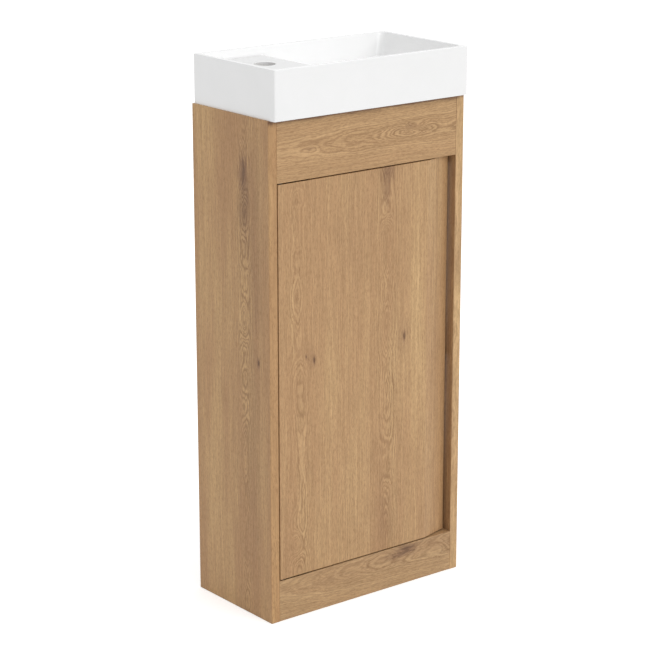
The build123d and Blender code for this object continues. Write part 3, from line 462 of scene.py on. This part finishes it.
# %% Oak for the door
door_oak = oak(
    "door_oak", X_AXIS, Y_AXIS, [(0.040, -0.085, 0.012), (-0.142, -0.081, -0.016)], seed=5.0, pinkness=0.6,
    wander=0.009,
    marks=[
        ((0.040, -0.095, 0.722), (0.020, 0.2, 0.032), 0.004, 0.65, 0.0),
        ((0.036, -0.095, 0.690), (0.013, 0.2, 0.045), 0.012, 0.45, 0.0),
        ((0.038, -0.095, 0.655), (0.010, 0.2, 0.022), 0.012, 0.0, 0.0),
        ((0.040, -0.095, 0.530), (0.013, 0.2, 0.048), 0.009, 0.0, 0.0),
        ((0.039, -0.095, 0.385), (0.014, 0.2, 0.060), 0.011, 0.0, 0.0),
        ((0.038, -0.095, 0.240), (0.011, 0.2, 0.060), 0.008, 0.0, 0.0),
        ((-0.125, -0.095, 0.538), (0.011, 0.2, 0.050), 0.005, 0.0, 0.0),
        ((-0.148, -0.095, 0.200), (0.011, 0.2, 0.050), 0.007, 0.0, 0.0),
        ((-0.148, -0.095, 0.125), (0.011, 0.2, 0.026), 0.012, 0.0, 0.0),
        ((0.076, -0.095, 0.440), (0.0060, 0.2, 0.014), 0.007, 0.70, 0.9),
        ((0.076, -0.095, 0.440), (0.020, 0.2, 0.050), 0.0, 0.22, 0.0),
        ((-0.112, -0.095, 0.433), (0.005, 0.2, 0.012), 0.005, 0.75, 1.0),
        ((-0.118, -0.095, 0.438), (0.014, 0.2, 0.026), 0.0, 0.22, 0.0),
        ((-0.128, -0.095, 0.441), (0.0035, 0.2, 0.008), 0.004, 0.60, 0.8),
        ((0.102, -0.095, 0.500), (0.013, 0.2, 0.40), 0.0, -0.75, 0.0),
        # Painted shade: a darker band on the grip's chamfer, where the side panel shades it.
        ((0.150, -0.095, 0.500), (0.018, 0.2, 0.50), 0.0, 0.16, 0.0),
        ((0.039, -0.095, 0.130), (0.022, 0.2, 0.060), 0.0, 0.22, 0.0),
        ((-0.030, -0.095, 0.640), (0.050, 0.2, 0.120), 0.0, 0.10, 0.0),
        # Painted shade: the door darkens towards its bottom.
        ((-0.020, -0.095, 0.040), (0.300, 0.2, 0.300), 0.0, 0.14, 0.0),
    ],
)

# %% Oak for the rail and the plinth
rail_oak = oak(
    "rail_oak", Z_AXIS, Y_AXIS, [(0.781, -0.071, -0.030)], seed=8.0, pinkness=0.25, wander=0.006,
    sheet_tone=(0.965, 0.950, 0.945, 1),
    marks=[
        ((0.782, -0.095, -0.078), (0.018, 0.2, 0.048), -0.015, 0.10, 0.0),
        ((0.788, -0.095, -0.104), (0.007, 0.2, 0.016), 0.006, 0.10, 0.0),
        # Painted shadow: two dark bands along the top of the rail, just under the basin's overhang.
        ((0.829, -0.095, 0.0), (0.0080, 0.2, 3.0), 0.0, 1.0, 0.0),
        ((0.829, -0.095, 0.0), (0.0055, 0.2, 3.0), 0.0, 1.0, 0.0),
        ((0.790, -0.095, -0.087), (0.006, 0.2, 0.015), 0.008, 0.35, 0.0),
        ((0.777, -0.095, 0.120), (0.006, 0.2, 0.018), 0.006, 0.35, 0.0),
    ],
)
plinth_oak = oak(
    "plinth_oak", Z_AXIS, Y_AXIS, [(0.052, -0.066, -0.060)], seed=2.0, pinkness=0.35, wander=0.006,
    sheet_tone=(0.860, 0.865, 0.890, 1),
    marks=[
        ((0.060, -0.095, -0.086), (0.014, 0.2, 0.033), 0.008, 1.0, 0.5),
        ((0.054, -0.095, -0.062), (0.009, 0.2, 0.034), 0.0, 0.60, 0.0),
        ((0.048, -0.095, -0.157), (0.013, 0.2, 0.032), 0.010, 0.0, 0.0),
    ],
)

# %% Oak for the boards inside
back_oak = oak("back_oak", Z_AXIS, Y_AXIS, [(0.40, 0.14, 0.0)], seed=14.0)
shelf_oak = oak(
    "shelf_oak", Y_AXIS, Z_AXIS, [(0.010, 0.380, 0.0)], seed=21.0,
    marks=[((0.020, 0.39, 0.070), (0.008, 0.2, 0.025), 0.008, 0.5, 0.6)],
)
OAK_BOARDS = {
    "side_panel_left": left_panel_oak,
    "side_panel_right": right_panel_oak,
    "door": door_oak,
    "top_rail_front": rail_oak,
    "plinth_front": plinth_oak,
    "back_rail_top": back_oak,
    "back_rail_bottom": back_oak,
    "base_panel": shelf_oak,
    "shelf": shelf_oak,
    "top_stretcher": shelf_oak,
}
print("oak for", len(OAK_BOARDS), "boards")

# %% [markdown]
# ## Finishes that aren't wood
# The basin is glazed: a hard, clear gloss over a white body, faintly uneven, as a glaze runs a little before
# it sets. The mouldings of the trap are white plastic with a fine grain, and the metal parts have the marks of
# how they were made. Each of these finishes is two close colours in soft patches, so one function makes them
# all: it takes the colours, the number of patches in a metre, the range of roughness, and the height of the
# bump where the surface can be felt.

# %% A helper for one-colour materials with uneven surfaces


def plain_finish(name, colour, other_colour, scale, roughness, metallic=0.0, bump=0.0, stretch=(1, 1, 1)):
    """A finish of two close colours in soft patches, with a matching change of roughness."""
    material = bpy.data.materials.new(name)
    material.use_nodes = True
    tree = material.node_tree
    shader = tree.nodes["Principled BSDF"]
    shader.inputs["Metallic"].default_value = metallic
    coordinates = add_node(tree, "ShaderNodeTexCoord")
    size = tuple(scale * factor for factor in stretch)
    clouds = stretched_noise(tree, coordinates.outputs["Object"], size, 3.0, 0.55, 1.0)
    base_colour = mix_colours(tree, ramp(tree, clouds, 0.35, 0.65), colour, other_colour)
    join(tree, base_colour, shader.inputs["Base Color"])
    join(tree, ramp(tree, clouds, 0.0, 1.0, *roughness), shader.inputs["Roughness"])
    if bump:
        uneven_surface = add_node(tree, "ShaderNodeBump", None, {"Strength": 0.5, "Distance": bump})
        join(tree, clouds, uneven_surface.inputs["Height"])
        join(tree, uneven_surface.outputs["Normal"], shader.inputs["Normal"])
    return material


print("one helper makes every finish that isn't wood")

# %% The finishes, by the record's material slots
FINISHES = {
    "glazed_white": plain_finish(
        "basin_glaze", (0.90, 0.90, 0.90, 1), (0.885, 0.887, 0.885, 1), 22, (0.10, 0.16), bump=0.0003
    ),
    "white_plastic": plain_finish(
        "trap_plastic", (0.84, 0.84, 0.83, 1), (0.80, 0.80, 0.79, 1), 260, (0.34, 0.44), bump=0.00004
    ),
    "black_rubber": plain_finish(
        "seal_rubber", (0.025, 0.025, 0.026, 1), (0.045, 0.045, 0.046, 1), 500, (0.6, 0.8), bump=0.00005
    ),
    "clear_silicone": plain_finish(
        "buffer_silicone", (0.72, 0.74, 0.74, 1), (0.80, 0.81, 0.81, 1), 300, (0.3, 0.4)
    ),
    "chrome": plain_finish(
        "waste_chrome", (0.80, 0.81, 0.82, 1), (0.74, 0.75, 0.76, 1), 60, (0.05, 0.10), metallic=1.0
    ),
    "bright_steel": plain_finish(
        "zinc_steel", (0.62, 0.62, 0.63, 1), (0.52, 0.52, 0.53, 1), 700, (0.28, 0.40), metallic=1.0
    ),
    "satin_brass": plain_finish(
        "satin_brass", (0.66, 0.50, 0.25, 1), (0.58, 0.42, 0.20, 1), 400, (0.28, 0.38), metallic=1.0
    ),
    "magnet_grey": plain_finish(
        "magnet_ferrite", (0.06, 0.06, 0.065, 1), (0.09, 0.09, 0.095, 1), 900, (0.6, 0.7), bump=0.00005
    ),
    "dowel_wood": plain_finish(
        "dowel_beech", (0.62, 0.44, 0.27, 1), (0.54, 0.36, 0.21, 1), 500, (0.55, 0.65), stretch=(0.1, 1, 1)
    ),
}
dark_nylon = plain_finish(
    "washer_nylon", (0.055, 0.042, 0.034, 1), (0.075, 0.058, 0.046, 1), 500, (0.45, 0.6)
)
print("finishes:", len(FINISHES) + 1)

# %% [markdown]
# ## What is special about the basin
# The flat ledge beside the bowl is made a shade greyer than the rest: painted shade, for the light that the rim
# and the back wall keep off it. The underside has no glaze at all, because the basin stood on that side in the
# kiln, so the clay is matt and rougher there. Its darker colour is partly the bare clay and partly painted
# shade, put there so that it throws less light on the rail below. Both come from masks. One reads where a point
# lies and whether it faces up, the other whether it faces down.

# %% The basin's ledge and its bare underside, with painted shade on both
LEDGE_END, LEDGE_Z = -0.0745, 0.8965
FACES_UP, FACES_DOWN = (0.80, 0.95), (-0.35, -0.75)
# Painted shade: the ledge's glaze is multiplied down to this grey.
LEDGE_PAINTED_SHADE = (0.83, 0.83, 0.83, 1)
# Partly painted shade: the bare clay is darkened to this grey so that it throws less light on the rail; the
# extra roughness is the bare clay's own.
BARE_CLAY_AND_SHADE, BARE_ROUGHER = (0.52, 0.50, 0.46, 1), 0.7
basin_tree = FINISHES["glazed_white"].node_tree
basin_shader = basin_tree.nodes["Principled BSDF"]
coordinates = add_node(basin_tree, "ShaderNodeTexCoord")
spot_on_basin = add_node(basin_tree, "ShaderNodeSeparateXYZ")
join(basin_tree, coordinates.outputs["Object"], spot_on_basin.inputs["Vector"])
facing = add_node(basin_tree, "ShaderNodeSeparateXYZ")
join(basin_tree, coordinates.outputs["Normal"], facing.inputs["Vector"])
ledge_shade_mask = ramp(basin_tree, facing.outputs["Z"], *FACES_UP)
for axis, start, end in (("X", LEDGE_END + 0.002, LEDGE_END), ("Z", LEDGE_Z + 0.004, LEDGE_Z + 0.001)):
    within = ramp(basin_tree, spot_on_basin.outputs[axis], start, end)
    ledge_shade_mask = math_node(basin_tree, "MULTIPLY", ledge_shade_mask, within)
bare_and_shaded = ramp(basin_tree, facing.outputs["Z"], *FACES_DOWN)

# %% Lay both masks over the glaze
glaze_colour = basin_shader.inputs["Base Color"].links[0].from_socket
# Painted shade on the ledge.
glaze_colour = mix_colours(basin_tree, ledge_shade_mask, glaze_colour, LEDGE_PAINTED_SHADE, "MULTIPLY")
# The underside's bare clay, darkened in part as painted shade.
join(basin_tree, mix_colours(basin_tree, bare_and_shaded, glaze_colour, BARE_CLAY_AND_SHADE), basin_shader.inputs["Base Color"])
roughness = basin_shader.inputs["Roughness"].links[0].from_socket
roughness = math_node(basin_tree, "MULTIPLY_ADD", bare_and_shaded, BARE_ROUGHER, roughness, clamp=True)
join(basin_tree, roughness, basin_shader.inputs["Roughness"])
print("the basin's finish has", len(basin_tree.nodes), "nodes")

# %% Give the finishes to the pieces


def give_finish(node, material):
    """Puts a material in the only slot of a node's object."""
    materials = frame["nodes"][node].data.materials
    materials.clear()
    materials.append(material)


for node, material in OAK_BOARDS.items():
    give_finish(node, material)
for part in frame["record"]["subparts"]:
    if part["material_slot"] in FINISHES:
        give_finish(part["node"], FINISHES[part["material_slot"]])
give_finish("pivot_washers", dark_nylon)
print("pieces with a finish:", sum(len(piece.data.materials) for piece in frame["nodes"].values()))

# %% [markdown]
# ## The floor and the light
# The unit stands on white, in soft light that comes mostly from the front and the right. An even white world
# gives the base level. One wide sun from the front right lifts the front over the left side, and one from
# above lifts the rims and the ledge. Rays that the camera or a gloss sends out meet plain white.

# %% A mask of the rays that show the background


def seen_directly(tree):
    """1 for rays from the camera, from a gloss or through glass, and 0 for rays that only carry light."""
    ray = add_node(tree, "ShaderNodeLightPath")
    seen = math_node(tree, "MAXIMUM", ray.outputs["Is Camera Ray"], ray.outputs["Is Glossy Ray"])
    return math_node(tree, "MAXIMUM", seen, ray.outputs["Is Transmission Ray"])


print("floor and world can tell what is looked at from what only lights the unit")

# %% Stage the floor
FLOOR_HALF_SIZE, FLOOR_DROP = 9.0, 0.0005
floor_shape = bmesh.new()
bmesh.ops.create_grid(floor_shape, x_segments=1, y_segments=1, size=FLOOR_HALF_SIZE)
bmesh.ops.translate(floor_shape, verts=floor_shape.verts, vec=(0, 0, -FLOOR_DROP))
floor_mesh = bpy.data.meshes.new("floor")
floor_shape.to_mesh(floor_mesh)
floor_shape.free()
floor = bpy.data.objects.new("floor", floor_mesh)
bpy.context.scene.collection.objects.link(floor)
print("floor:", 2 * FLOOR_HALF_SIZE, "m wide")

# %% The floor's white
FLOOR_GREY, FLOOR_GLOW = 0.85, 0.45
floor_white = bpy.data.materials.new("floor_white")
floor_white.use_nodes = True
floor_tree = floor_white.node_tree
floor_shader = floor_tree.nodes["Principled BSDF"]
floor_shader.inputs["Base Color"].default_value = (FLOOR_GREY, FLOOR_GREY, FLOOR_GREY, 1)
floor_shader.inputs["Roughness"].default_value = 0.9
floor_shader.inputs["Specular IOR Level"].default_value = 0.0
floor_shader.inputs["Emission Color"].default_value = (1, 1, 1, 1)
glow = math_node(floor_tree, "MULTIPLY", seen_directly(floor_tree), FLOOR_GLOW)
join(floor_tree, glow, floor_shader.inputs["Emission Strength"])
floor_mesh.materials.append(floor_white)
print("the floor gives back", FLOOR_GREY, "of the light, and shows", FLOOR_GLOW, "more where it is looked at")

# %% Light from all round
BASE_LIGHT = 0.70
world = bpy.data.worlds.new("studio")
bpy.context.scene.world = world
world.use_nodes = True
sky = world.node_tree.nodes["Background"]
sky.inputs["Color"].default_value = (1, 1, 1, 1)
full_where_seen = seen_directly(world.node_tree)
strength = math_node(world.node_tree, "MULTIPLY_ADD", full_where_seen, 1 - BASE_LIGHT, BASE_LIGHT)
join(world.node_tree, strength, sky.inputs["Strength"])
print("light from all round:", BASE_LIGHT)

# %% Two soft suns
SUN_ANGLE = math.radians(40)


def soft_sun(name, towards, share):
    """A wide sun. The share is how much of full light it gives to a surface that faces it."""
    lamp = bpy.data.lights.new(name, "SUN")
    lamp.energy = share * math.pi
    lamp.angle = SUN_ANGLE
    sun = bpy.data.objects.new(name, lamp)
    sun.rotation_mode = "QUATERNION"
    sun.rotation_quaternion = Vector(towards).to_track_quat("-Z", "Y")
    bpy.context.scene.collection.objects.link(sun)
    print(name, "adds", share, "of full light")


soft_sun("front_light", (-0.35, 0.80, -0.55), 0.27)
soft_sun("top_light", (0.0, 0.05, -1.0), 0.16)

# %% [markdown]
# ## The camera
# The photograph looks at the unit from its front left and from above, through a long lens. Its upright edges
# are drawn parallel, which a camera only does with a large shift. Here the camera is tilted down instead, so
# that the other views stay centred, and its place, lens and tilt are the ones that bring the corners of the
# cabinet and the basin as close as they come to where they are in the photograph.

# %% Place the camera
CAMERA_AT = Vector((-2.2377, -2.8245, 1.4721))
TURN, TILT = 0.6702, 0.2796
SENSOR_WIDTH, FOCAL_LENGTH = 36.0, 122.15
view_line = Vector((math.sin(TURN) * math.cos(TILT), math.cos(TURN) * math.cos(TILT), -math.sin(TILT)))
lens = bpy.data.cameras.new("camera")
lens.sensor_width = SENSOR_WIDTH
lens.lens = FOCAL_LENGTH
lens.clip_end = 50.0
camera = bpy.data.objects.new("camera", lens)
camera.location = CAMERA_AT
camera.rotation_mode = "QUATERNION"
camera.rotation_quaternion = view_line.to_track_quat("-Z", "Y")
bpy.context.scene.collection.objects.link(camera)
bpy.context.scene.camera = camera
bpy.context.scene.view_settings.view_transform = "Standard"
print("camera turned", round(math.degrees(TURN), 1), "and tilted down", round(math.degrees(TILT), 1), "degrees")
